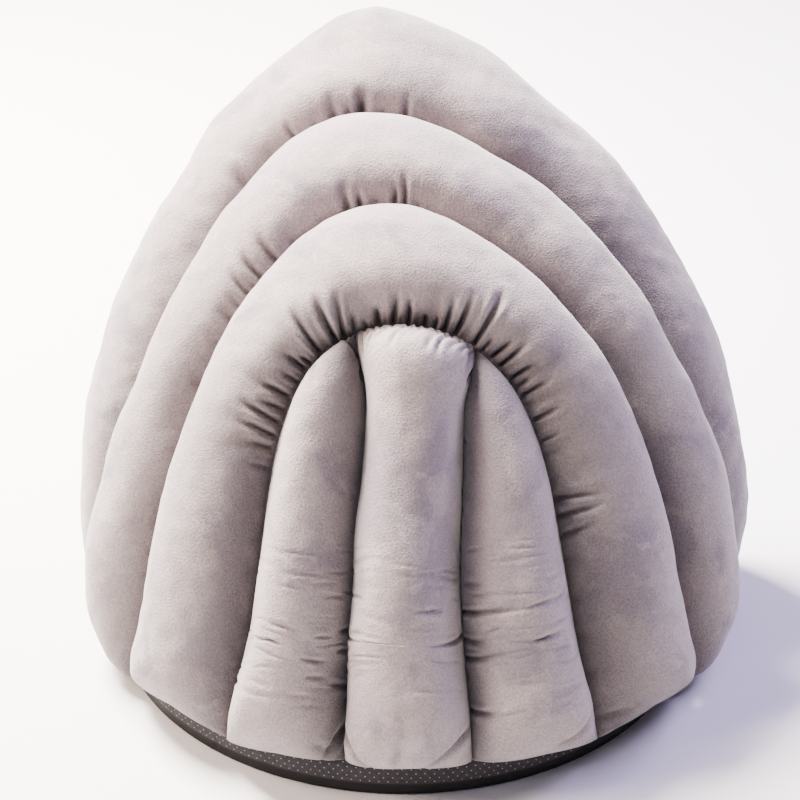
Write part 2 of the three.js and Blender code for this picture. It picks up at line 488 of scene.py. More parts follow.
def bare_material(name: str) -> tuple[bpy.types.Material, bpy.types.NodeTree]:
    """Returns a new material of that name and its tree, which holds no node yet."""
    made = bpy.data.materials.new(name)
    made.use_nodes = True
    made.node_tree.nodes.clear()
    return made, made.node_tree


@dataclass(frozen=True)
class Velvet:
    """Knitted polyester velvet with a short cut pile: matt and deep, with a pale bloom at its flanks.

    The eye sees it by its nap: soft dark and light patches at random, and a fine grain. On top of that
    its colour carries painted shade: nearly black lines in folds and seams and darker flanks beside
    them, read from each piece's values. Each piece's nap marks add further patches, some of them
    painted shade and painted light. turned_nap is the colour where the pile lies away from the eye and
    lit_nap where it leans into the light. Each shows where its noise, weighed with the nap marks,
    passes from the first to the second value of its range.

    patch_mm and streak_mm are the usual sizes of such patches and of the marks in them. The pile's
    tufts are about 0.3 mm apart on the real cloth, too fine to show, so pile_mm draws them about four
    times as coarse.
    """

    name: str = "short_pile_velvet"
    colour: str = "#867c7d"
    turned_nap: str = "#736a70"
    lit_nap: str = "#908686"
    patch_mm: float = 42.0
    streak_mm: float = 11.0
    pile_mm: float = 1.15
    bloom: float = 0.25
    bloom_softness: float = 0.5
    roughness: float = 0.9
    gloss: float = 0.2
    painted_shade_strength: float = 0.8
    nap_and_painted_light_weight: float = 0.2
    turned_from: tuple[float, float] = (0.5, 0.68)
    lit_from: tuple[float, float] = (0.52, 0.7)
    lit_share: float = 0.8
    grain: tuple[float, float] = (0.78, 1.2)
    streak_relief: float = 0.2
    relief_mm: float = 0.7
    relief_strength: float = 0.6

    def material(self) -> bpy.types.Material:
        """Returns the velvet as a new material, which reads its piece's pile values."""
        made, tree = bare_material(self.name)
        place = add_node(tree, "ShaderNodeTexCoord").outputs["Object"]
        patch = add_node(tree, "ShaderNodeTexNoise", {}, {
            "Vector": place, "Scale": per_metre(self.patch_mm), "Detail": 4.0, "Roughness": 0.55,
            "Distortion": 0.6,
        }).outputs["Fac"]
        streak = add_node(tree, "ShaderNodeTexNoise", {}, {
            "Vector": place, "Scale": per_metre(self.streak_mm), "Detail": 3.0, "Roughness": 0.6,
            "Distortion": 0.3,
        }).outputs["Fac"]
        pile = add_node(tree, "ShaderNodeTexNoise", {}, {
            "Vector": place, "Scale": per_metre(self.pile_mm), "Detail": 1.0, "Roughness": 0.6,
        }).outputs["Fac"]
        # Nap marks: above 0 they darken towards turned_nap and below 0 lighten towards lit_nap; many are
        # painted shade and painted light.
        strokes = add_node(tree, "ShaderNodeAttribute", {"attribute_name": NAP_AND_PAINTED_LIGHT}).outputs["Fac"]
        marks = add_node(tree, "ShaderNodeMath", {"operation": "MULTIPLY_ADD"}, {
            0: strokes, 1: self.nap_and_painted_light_weight, 2: patch,
        }).outputs["Value"]
        turned = add_node(tree, "ShaderNodeMapRange", {"interpolation_type": "SMOOTHSTEP"}, {
            "Value": marks, "From Min": self.turned_from[0], "From Max": self.turned_from[1],
        }).outputs["Result"]
        lights = add_node(tree, "ShaderNodeMath", {"operation": "MULTIPLY_ADD"}, {
            0: strokes, 1: -self.nap_and_painted_light_weight, 2: streak,
        }).outputs["Value"]
        lit = add_node(tree, "ShaderNodeMapRange", {"interpolation_type": "SMOOTHSTEP"}, {
            "Value": lights, "From Min": self.lit_from[0], "From Max": self.lit_from[1],
            "To Max": self.lit_share,
        }).outputs["Result"]
        ground = add_node(tree, "ShaderNodeMix", {"data_type": "RGBA"}, {
            "Factor": turned, 6: linear(self.colour), 7: linear(self.turned_nap),
        }).outputs[2]
        nap_and_painted_light_marked = add_node(tree, "ShaderNodeMix", {"data_type": "RGBA"}, {
            "Factor": lit, 6: ground, 7: linear(self.lit_nap),
        }).outputs[2]
        grain = add_node(tree, "ShaderNodeMapRange", {}, {
            "Value": pile, "From Min": NOISE_SPREAD[0], "From Max": NOISE_SPREAD[1],
            "To Min": self.grain[0], "To Max": self.grain[1],
        }).outputs["Result"]
        # Painted shade in folds, seams and on the flanks beside them darkens the colour.
        closed = add_node(tree, "ShaderNodeAttribute", {"attribute_name": PAINTED_SHADE}).outputs["Fac"]
        painted_shade_factor = add_node(tree, "ShaderNodeMapRange", {}, {
            "Value": closed, "To Min": 1.0, "To Max": 1.0 - self.painted_shade_strength,
        }).outputs["Result"]
        shade = add_node(tree, "ShaderNodeMath", {"operation": "MULTIPLY"}, {
            0: grain, 1: painted_shade_factor,
        }).outputs["Value"]
        coloured = add_node(tree, "ShaderNodeVectorMath", {"operation": "SCALE"}, {
            0: nap_and_painted_light_marked, "Scale": shade,
        }).outputs["Vector"]
        relief = add_node(tree, "ShaderNodeMath", {"operation": "MULTIPLY_ADD"}, {
            0: streak, 1: self.streak_relief, 2: pile,
        }).outputs["Value"]
        bump = add_node(tree, "ShaderNodeBump", {}, {
            "Strength": self.relief_strength, "Distance": self.relief_mm * MM, "Height": relief,
        }).outputs["Normal"]
        cloth = add_node(tree, "ShaderNodeBsdfPrincipled", {}, {
            "Base Color": coloured, "Roughness": self.roughness, "Specular IOR Level": self.gloss,
            "Sheen Weight": self.bloom, "Sheen Roughness": self.bloom_softness, "Normal": bump,
        }).outputs["BSDF"]
        add_node(tree, "ShaderNodeOutputMaterial", {}, {"Surface": cloth})
        return made


@dataclass(frozen=True)
class GripCloth:
    """Woven polyester printed with rubber dots in staggered rows, as is sewn under slippers and beds.

    The eye sees a dull black ground with pale pinpoints. The photo's dots lie about 3.3 mm apart in a
    row at this size, and here they are drawn dot_pitch_mm apart. The threads of the real cloth are
    about 0.4 mm apart, too fine to show, so thread_mm draws them more than twice as coarse.
    fuzz_mm is the size of the worn and dusty places.
    """

    name: str = "dotted_grip_cloth"
    colour: str = "#272428"
    dot_colour: str = "#807b7c"
    dot_pitch_mm: float = 5.2
    dot_mm: float = 0.8
    dot_edge: tuple[float, float] = (1.25, 0.75)
    thread_mm: float = 1.0
    thread_relief: float = 0.25
    fuzz_mm: float = 20 / 7
    fuzz_shade: tuple[float, float] = (0.75, 1.25)
    roughness: float = 0.8
    gloss: float = 0.35
    relief_mm: float = 0.4
    relief_strength: float = 0.5

    def material(self) -> bpy.types.Material:
        """Returns the grip cloth as a new material, whose pattern reads the piece's own map in mm."""
        made, tree = bare_material(self.name)
        chart = add_node(tree, "ShaderNodeUVMap", {"uv_map": CLOTH_MAP}).outputs["UV"]
        turned = add_node(tree, "ShaderNodeMapping", {}, {
            "Vector": chart, "Rotation": (0.0, 0.0, math.radians(45.0)),
        }).outputs["Vector"]
        density = math.sqrt(2.0) / self.dot_pitch_mm
        cells = add_node(tree, "ShaderNodeTexVoronoi", {"voronoi_dimensions": "2D"}, {
            "Vector": turned, "Scale": density, "Randomness": 0.0,
        }).outputs["Distance"]
        outer, inner = (share * self.dot_mm / 2 * density for share in self.dot_edge)
        dots = add_node(tree, "ShaderNodeMapRange", {"interpolation_type": "SMOOTHSTEP"}, {
            "Value": cells, "From Min": outer, "From Max": inner,
        }).outputs["Result"]
        weave = add_node(tree, "ShaderNodeTexChecker", {}, {
            "Vector": chart, "Scale": 1.0 / self.thread_mm,
        }).outputs["Fac"]
        fuzz = add_node(tree, "ShaderNodeTexNoise", {"noise_dimensions": "2D"}, {
            "Vector": chart, "Scale": 1.0 / self.fuzz_mm, "Detail": 3.0,
        }).outputs["Fac"]
        shade = add_node(tree, "ShaderNodeMapRange", {}, {
            "Value": fuzz, "From Min": NOISE_SPREAD[0], "From Max": NOISE_SPREAD[1],
            "To Min": self.fuzz_shade[0], "To Max": self.fuzz_shade[1],
        }).outputs["Result"]
        ground = add_node(tree, "ShaderNodeVectorMath", {"operation": "SCALE"}, {
            0: linear(self.colour)[:3], "Scale": shade,
        }).outputs["Vector"]
        coloured = add_node(tree, "ShaderNodeMix", {"data_type": "RGBA"}, {
            "Factor": dots, 6: ground, 7: linear(self.dot_colour),
        }).outputs[2]
        relief = add_node(tree, "ShaderNodeMath", {"operation": "MULTIPLY_ADD"}, {
            0: weave, 1: self.thread_relief, 2: dots,
        }).outputs["Value"]
        bump = add_node(tree, "ShaderNodeBump", {}, {
            "Strength": self.relief_strength, "Distance": self.relief_mm * MM, "Height": relief,
        }).outputs["Normal"]
        cloth = add_node(tree, "ShaderNodeBsdfPrincipled", {}, {
            "Base Color": coloured, "Roughness": self.roughness, "Specular IOR Level": self.gloss,
            "Normal": bump,
        }).outputs["BSDF"]
        add_node(tree, "ShaderNodeOutputMaterial", {}, {"Surface": cloth})
        return made


@dataclass(frozen=True)
class PaintedShadeBandCloth:
    """A plain, nearly black woven cloth on the base's lower edge, under its crest: its colour is painted
    shade, for the deep shade under that rounded edge.

    To the eye it is a smooth, nearly black line with a faint dull light along it. fuzz_mm is the usual
    distance between the raised threads that roughen it, drawn about three times as coarse as they are.
    """

    name: str = "painted_shade_band_cloth"
    # Nearly black: painted shade.
    colour: str = "#0f0e10"
    fuzz_mm: float = 1.5
    roughness: float = 0.75
    gloss: float = 0.25
    relief_mm: float = 0.3
    relief_strength: float = 0.25

    def material(self) -> bpy.types.Material:
        """Returns the binding cloth as a new material."""
        made, tree = bare_material(self.name)
        place = add_node(tree, "ShaderNodeTexCoord").outputs["Object"]
        fuzz = add_node(tree, "ShaderNodeTexNoise", {}, {
            "Vector": place, "Scale": per_metre(self.fuzz_mm), "Detail": 2.0,
        }).outputs["Fac"]
        bump = add_node(tree, "ShaderNodeBump", {}, {
            "Strength": self.relief_strength, "Distance": self.relief_mm * MM, "Height": fuzz,
        }).outputs["Normal"]
        cloth = add_node(tree, "ShaderNodeBsdfPrincipled", {}, {
            "Base Color": linear(self.colour), "Roughness": self.roughness,
            "Specular IOR Level": self.gloss, "Normal": bump,
        }).outputs["BSDF"]
        add_node(tree, "ShaderNodeOutputMaterial", {}, {"Surface": cloth})
        return made


def resting(grid: np.ndarray) -> np.ndarray:
    """Lifts what would sink into the base pad onto its top and its rounded shoulder.

    Args:
        grid: places in mm, with x, y and z last.

    Returns:
        The places, clear of the base.
    """
    pad = BasePad()
    away = np.hypot(grid[..., 0] - pad.off_centre, grid[..., 1])
    over = np.clip((away - (pad.radius - pad.top_inset)) / (pad.top_inset + pad.crest_out), 0.0, 1.0)
    rise = BASE_HEIGHT - PRESSED_IN - pad.crest_height
    top = pad.crest_height + rise * np.sqrt(1.0 - over ** 2)
    lifted = grid.copy()
    lifted[..., 2] = np.where(over < 1.0, np.maximum(grid[..., 2], top), grid[..., 2])
    return lifted


def closed_mesh(name: str, grid: np.ndarray) -> bpy.types.Object:
    """Makes a closed piece from sections of the same number of points.

    Args:
        name: the piece's name.
        grid: sections along the first axis, points round each along the second, in mm.

    Returns:
        The piece, linked to the scene, smooth and with its faces outwards.
    """
    sections, points, _ = grid.shape
    corners = np.arange(sections * points).reshape(sections, points)
    a = corners[:-1].ravel()
    b = np.roll(corners, -1, axis=1)[:-1].ravel()
    c = np.roll(corners, -1, axis=1)[1:].ravel()
    d = corners[1:].ravel()
    quads = np.stack([a, b, c, d], axis=1)
    hubs = [grid[0].mean(axis=0), grid[-1].mean(axis=0)]
    places = np.concatenate([grid.reshape(-1, 3), hubs]) * MM
    first, last = corners[0], corners[-1]
    low, high = sections * points, sections * points + 1
    fans = [(low, int(q), int(p)) for p, q in zip(first, np.roll(first, -1))]
    fans += [(high, int(p), int(q)) for p, q in zip(last, np.roll(last, -1))]
    mesh = bpy.data.meshes.new(name)
    mesh.from_pydata(places.tolist(), [], quads.tolist() + fans)
    mesh.shade_smooth()
    piece = bpy.data.objects.new(name, mesh)
    bpy.context.scene.collection.objects.link(piece)
    return piece


@dataclass
class StuffedPiece:
    """A stuffed velvet tube between two seams: a full crown outside and a flatter lining inside.

    crown and lining are how far the cloth swells out and in, and peak where across it the crown is
    highest, all as shares of the width. roundness is 2 for an ellipse and more for fuller shoulders.
    At an arch's top, top_peak and top_roundness take their place, and the crown is top_crown times as
    high. step is the fineness along the piece, lump how high its stuffing stands up in lumps, and
    end_rounding the length over which its closed end rounds off, all in mm. fill, how tightly it is
    stuffed from 0 to 1, is not used. The start and end shade pairs say how dark the painted shade is on
    the flanks beside the two seams, and how many mm it reaches.
    """

    name: str
    crown: float = 0.33
    lining: float = 0.17
    peak: float = 0.5
    roundness: float = 2.0
    top_crown: float = 1.03
    top_peak: float = 0.53
    top_roundness: float = 2.7
    step: float = 1.3
    fill: float = 0.85
    lump: float = 1.1
    seed: int = 1
    end_rounding: float = 0.0
    # Painted shade on the flanks beside the start and end seams: how dark it is, and how many mm it
    # reaches.
    start_painted_shade: tuple[float, float] = (0.12, 9.0)
    end_painted_shade: tuple[float, float] = (0.6, 27.0)
    creases: list[Crease] = field(default_factory=list)
    seeded: list[Puckers | Wrinkles] = field(default_factory=list)
    strokes: list[NapAndPaintedLightMark] = field(default_factory=list)

    # The length of the outer cloth and of the lining across, as shares of the width, and how far their
    # points are apart, in steps.
    outer_girth: ClassVar[float] = 1.3
    outer_spacing: ClassVar[float] = 1.2
    lining_girth: ClassVar[float] = 1.05
    lining_spacing: ClassVar[float] = 3.0

    # Large lumps, and small ones on them that are only small_share as high. Both die away within
    # lumps_inset mm of a seam.
    large_lumps: ClassVar[float] = 62.0
    small_lumps: ClassVar[float] = 15.0
    small_share: ClassVar[float] = 0.16
    small_seed: ClassVar[int] = 7
    lumps_inset: ClassVar[float] = 14.0

    # Nothing is pressed in within seam_hold mm of a seam, and all of it only ease_in mm further on. At
    # the foot, foot_share of it is left, and all of it foot_height higher.
    seam_hold: ClassVar[float] = 0.6
    ease_in: ClassVar[float] = 3.0
    foot_share: ClassVar[float] = 0.1
    foot_height: ClassVar[float] = 6.0

    # Painted shade: the depth of a fold at which it is mostly dark, how dark a seam is and how far from
    # it that reaches, and the share of a flank's painted shade that reaches over an arch's top.
    painted_shade_fold_depth: ClassVar[float] = 4.4
    painted_seam_shade: ClassVar[float] = 0.9
    painted_seam_reach: ClassVar[float] = 2.2
    painted_top_shade: ClassVar[float] = 0.3

    def edges(self) -> tuple[np.ndarray, np.ndarray]:
        """Returns the points of the start seam and of the end seam, in matching order."""
        raise NotImplementedError

    def sink(self) -> np.ndarray | float:
        """Returns how deep the piece's seams are drawn in, on average of the two, along the piece."""
        raise NotImplementedError

    def leg(self, heights: np.ndarray) -> np.ndarray:
        """Returns how far each section belongs to a leg and not to an arch's top, from its height."""
        return np.ones_like(heights)

    def sections(self) -> tuple[np.ndarray, int]:
        """Lofts the smooth stuffed shape.

        Returns:
            The grid of sections in mm, and the number of points from the start seam to the end seam.
        """
        start, end = self.edges()
        chord = end - start
        width = np.linalg.norm(chord, axis=1, keepdims=True)
        chord = chord / width
        outward = np.cross(chord, np.gradient(start + end, axis=0))
        outward /= np.linalg.norm(outward, axis=1, keepdims=True)
        height = (start[:, 2] + end[:, 2]) / 2
        swell = rounded((height - FOOT) / FOOT_ROUNDING, FOOT_SWELL)
        if self.end_rounding:
            middle = lengths_along((start + end) / 2)
            swell = swell * rounded((middle[-1] - middle) / self.end_rounding, END_SWELL)
        leg = self.leg(height)[:, None]
        widest = float(width.max())
        over = int(round(widest * self.outer_girth / (self.outer_spacing * self.step)))
        turn = math.pi * np.arange(over) / over
        flat = 2.0 / mixed(self.top_roundness, self.roundness, leg)
        skew = np.log(mixed(self.top_peak, self.peak, leg)) / math.log(0.5)
        across = ((1.0 - np.sign(np.cos(turn)) * np.abs(np.cos(turn)) ** flat) / 2) ** skew
        proud = self.crown * mixed(self.top_crown, 1.0, leg[:, 0]) * width[:, 0] * swell
        proud = proud + self.sink() * (1.0 - np.exp(-width[:, 0] / NARROW))
        crown = (proud[:, None] * np.sin(turn) ** flat)[:, :, None]
        span = chord[:, None] * width[:, :, None]
        top = start[:, None] + span * across[:, :, None] + outward[:, None] * crown
        under = int(round(widest * self.lining_girth / (self.lining_spacing * self.step)))
        back = 1.0 - np.arange(under) / under
        depth = self.lining * width[:, :, None] * np.sin(math.pi * back)[None, :, None]
        low = start[:, None] + span * back[None, :, None] - outward[:, None] * depth
        return np.concatenate([top, low], axis=1), over

    def painted_shade_of(self, heights: np.ndarray, insets: dict[Edge, np.ndarray],
                  pressed: np.ndarray) -> np.ndarray:
        """Works out the painted shade of the outer cloth, in creases, in seams and on the flanks beside
        them.

        Args:
            heights: the height of each section's start.
            insets: how far each point is from each edge.
            pressed: how deep the creases are at each point.

        Returns:
            0 where nothing is painted, up to 1 for the darkest painted shade.
        """
        nearest = np.minimum(insets[Edge.START], insets[Edge.END])
        unpainted = np.exp(-np.clip(pressed, 0.0, None) / self.painted_shade_fold_depth)
        unpainted *= 1.0 - self.painted_seam_shade * np.exp(-nearest / self.painted_seam_reach)
        for edge, (amount, reach) in ((Edge.START, self.start_painted_shade), (Edge.END, self.end_painted_shade)):
            reach = reach * mixed(self.painted_top_shade, 1.0, self.leg(heights))
            unpainted *= 1.0 - amount * np.exp(-(insets[edge] / reach) ** 2)
        return 1.0 - unpainted

    def shaped(self, grid: np.ndarray, over: int) -> tuple[np.ndarray, np.ndarray, np.ndarray]:
        """Presses the lumps, puckers and creases into the smooth shape.

        Args:
            grid: the smooth sections.
            over: the number of points from the start seam to the end seam.

        Returns:
            The finished sections, the painted shade in the folds and seams and on the flanks beside them,
            from 0 to 1, and the nap marks, partly painted shade and painted light, from about -1 to 1.
        """
        along = lengths_along((grid[:, 0] + grid[:, over]) / 2)[:, None]
        around = lengths_along(np.swapaxes(grid, 0, 1)).T
        insets = {Edge.START: around, Edge.END: around[:, over:over + 1] - around}
        nearest = np.minimum(insets[Edge.START], insets[Edge.END])
        ringed = np.concatenate([grid[:, -1:], grid, grid[:, :1]], axis=1)
        normal = np.cross(np.gradient(ringed, axis=1)[:, 1:-1], np.gradient(grid, axis=0))
        normal /= np.maximum(np.linalg.norm(normal, axis=2, keepdims=True), 1e-9)
        soft = ease(nearest / self.lumps_inset)
        rise = self.lump * lumps(grid, self.large_lumps, self.seed) * soft
        small = lumps(grid, self.small_lumps, self.seed + self.small_seed)
        rise += self.small_share * self.lump * small * soft
        pressed = np.zeros_like(rise)
        for row in self.creases + [row for stretch in self.seeded for row in stretch.creases()]:
            pressed += row.depths(along, insets[row.edge])
        # Nap marks, partly painted shade and painted light.
        turned = np.zeros_like(rise)
        for mark in self.strokes:
            turned += mark.marks(along, insets[mark.edge])
        # Painted shade in creases, seams and on the flanks beside them, on the outer cloth only.
        closed = self.painted_shade_of(grid[:, :1, 2], insets, pressed)
        closed[:, over:] = 0.0
        held = ease((nearest - self.seam_hold) / self.ease_in)
        held[:, over:] = 0.0
        foot = ease((grid[:, :1, 2] - FOOT) / self.foot_height)
        foot = foot * (1.0 - self.foot_share) + self.foot_share
        moved = grid + normal * ((rise - pressed) * foot * held)[:, :, None]
        return resting(hemmed(moved)), closed, turned

    def build(self, finish: bpy.types.Material) -> bpy.types.Object:
        """Makes the piece, dresses it and joins it to the frame.

        Args:
            finish: the velvet.

        Returns:
            The finished piece.
        """
        grid, closed, turned = self.shaped(*self.sections())
        piece = closed_mesh(self.name, grid)
        hubs = np.zeros(2)
        # Each piece carries its painted shade and its nap marks as point values.
        for name, values in ((PAINTED_SHADE, closed), (NAP_AND_PAINTED_LIGHT, turned)):
            layer = piece.data.attributes.new(name, "FLOAT", "POINT")
            layer.data.foreach_set("value", np.concatenate([values.ravel(), hubs]))
        piece.data.materials.append(finish)
        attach(piece, "root")
        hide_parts(self.name)
        log.info("%s: %d faces", self.name, len(piece.data.polygons))
        return piece


@dataclass
class Arch(StuffedPiece):
    """A stuffed arch between two neighbouring seams, from its left foot over the top to its right foot.

    fine_points is how many points of the seams are measured to find even steps.
    """

    outer: Seam = SEAMS[1]
    inner: Seam = SEAMS[0]
    fine_points: ClassVar[int] = 3001

    def edges(self) -> tuple[np.ndarray, np.ndarray]:
        """Returns the outer and the inner seam, at even steps along the arch's middle."""
        fine = np.linspace(-1.0, 1.0, self.fine_points)
        measured = lengths_along((self.outer.points(fine) + self.inner.points(fine)) / 2)
        count = int(measured[-1] / self.step) + 1
        side = np.interp(np.linspace(0.0, measured[-1], count), measured, fine)
        return self.outer.points(side), self.inner.points(side)

    def sink(self) -> np.ndarray | float:
        """Returns the mean sink of the two seams."""
        return (self.outer.sink + self.inner.sink) / 2

    def leg(self, heights: np.ndarray) -> np.ndarray:
        """Returns 0 at the arch's top, and 1 from one shoulder's height below it."""
        return ease((heights.max() - heights) / SHOULDER_HEIGHT)


@dataclass(frozen=True)
class BackPanel:
    """Where the back panel's channels meet, and its edge in the inner seam.

    heights, left and right say how far across the two channel seams are at shares of the height, and
    lean is how late they tip forward. valleys say how much deeper than the edge they are drawn in half
    way up, and dip how far they go down for each mm in. A valley comes in over the lowest valley_foot
    of the height and goes out over the highest valley_top. top_span bounds where on the inner seam the
    channel seams can end, and fine_points is how many of its points are measured for that.
    """

    edge: Seam = SEAMS[0]
    heights: tuple[float, ...] = (0.0, 0.45, 0.85, 1.0)
    left: tuple[float, ...] = (-38.0, -33.0, -26.0, -32.0)
    right: tuple[float, ...] = (33.0, 27.0, 29.0, 35.0)
    lean: float = 1.2
    valleys: tuple[float, float] = (18.0, 10.0)
    dip: float = 0.4
    valley_foot: ClassVar[float] = 0.3
    valley_top: ClassVar[float] = 0.5
    top_span: ClassVar[tuple[float, float]] = (-0.9, 0.9)
    fine_points: ClassVar[int] = 4001

    def across(self, edge: Edge, up: np.ndarray) -> np.ndarray:
        """Returns how far across the left (START) or right (END) channel seam is at shares of height."""
        row = np.array(self.left if edge is Edge.START else self.right)
        heights = np.array(self.heights)
        k = np.clip(np.searchsorted(heights, up, side="right") - 1, 0, len(row) - 2)
        share = ease((up - heights[k]) / (heights[k + 1] - heights[k]))
        return row[k] + (row[k + 1] - row[k]) * share

    def drawn(self, edge: Edge, up: np.ndarray) -> np.ndarray:
        """Returns how much deeper than the panel's edge a channel seam is drawn in, in mm."""
        valley = self.valleys[0] if edge is Edge.START else self.valleys[1]
        return valley * ease(up / self.valley_foot) * ease((1.0 - up) / self.valley_top)

    def top_side(self, edge: Edge) -> float:
        """Returns where on the panel's edge a channel seam ends, as a side of the inner seam."""
        sides = np.linspace(*self.top_span, self.fine_points)
        x = self.across(edge, np.array([1.0]))[0]
        return float(np.interp(x, self.edge.points(sides)[:, 0], sides))

    def seam(self, edge: Edge, up: np.ndarray) -> np.ndarray:
        """Returns points of a channel seam at shares of the height."""
        x = self.across(edge, up)
        foot_x = float(self.across(edge, np.array([0.0]))[0])
        foot_y = -math.sqrt((FOOT_RADIUS - self.edge.sink) ** 2 - foot_x ** 2)
        top = self.edge.points(np.array([self.top_side(edge)]))[0]
        drawn = self.drawn(edge, up)
        y = foot_y + (top[1] - foot_y) * up ** self.lean + drawn
        z = FOOT + (top[2] - FOOT) * up - self.dip * drawn
        return np.stack([x, y, z], axis=-1)

    def rim(self, edge: Edge, up: np.ndarray) -> np.ndarray:
        """Returns points of the panel's left (START) or right (END) edge at a channel seam's heights."""
        foot = -1.0 if edge is Edge.START else 1.0
        sides = np.linspace(foot, self.top_side(edge), self.fine_points)
        heights = self.edge.points(sides)[:, 2]
        wanted = heights[0] + (heights[-1] - heights[0]) * up
        return self.edge.points(np.interp(wanted, heights, sides))


class Place(Enum):
    """Which of the back panel's three channels a channel is."""

    LEFT = "left"
    CENTRE = "centre"
    RIGHT = "right"


@dataclass
class Channel(StuffedPiece):
    """A stuffed channel of the back panel, from its foot up to the panel's top edge.

    The outer two run to a point, and stop at the share reach of the height, just before it. slope is a
    channel's length against its height, and arching how late the centre one's sections take the arch
    of the panel's top edge.
    """

    place: Place = Place.CENTRE
    panel: BackPanel = BackPanel()
    reach: float = 0.998
    crown: float = 0.38
    lining: float = 0.16
    slope: ClassVar[float] = 1.1
    arching: ClassVar[int] = 4

    def heights(self) -> np.ndarray:
        """Returns the shares of the panel's height at which the channel has its sections."""
        rise = self.panel.edge.apex[2] - FOOT
        reach = 1.0 if self.place is Place.CENTRE else self.reach
        return np.linspace(0.0, reach, int(rise * self.slope / self.step) + 1)

    def sink(self) -> np.ndarray:
        """Returns the mean depth of the channel's two seams along it."""
        up = self.heights()
        left = self.panel.drawn(Edge.START, up) * (self.place is not Place.RIGHT)
        right = self.panel.drawn(Edge.END, up) * (self.place is not Place.LEFT)
        return self.panel.edge.sink + (left + right) / 2

    def edges(self) -> tuple[np.ndarray, np.ndarray]:
        """Returns the channel's left and right edge at even steps of the height."""
        up = self.heights()
        if self.place is Place.LEFT:
            return self.panel.rim(Edge.START, up), self.panel.seam(Edge.START, up)
        if self.place is Place.RIGHT:
            return self.panel.seam(Edge.END, up), self.panel.rim(Edge.END, up)
        return self.panel.seam(Edge.START, up), self.panel.seam(Edge.END, up)

    def sections(self) -> tuple[np.ndarray, int]:
        """Lofts the channel, and lifts the centre one's last sections to the panel's arched top edge."""
        grid, over = super().sections()
        if self.place is Place.CENTRE:
            start, end = self.edges()
            share = np.clip((grid[:, :, 0] - start[:, None, 0]) / (end - start)[:, None, 0], 0.0, 1.0)
            left, right = self.panel.top_side(Edge.START), self.panel.top_side(Edge.END)
            arched = self.panel.edge.points(left + (right - left) * share)
            straight = start[-1] + (end[-1] - start[-1]) * share[:, :, None]
            up = np.linspace(0.0, 1.0, len(grid))[:, None, None]
            grid = grid + (arched - straight) * up ** self.arching
        grid[-1] += TUCKED_IN
        return grid, over


class BaseCloth(IntEnum):
    """The base's cloths, as the places of their finishes on its mesh."""

    GRIP = 0
    BINDING = 1
    # The nearly black band under the crest: painted shade.
    VELVET = 2


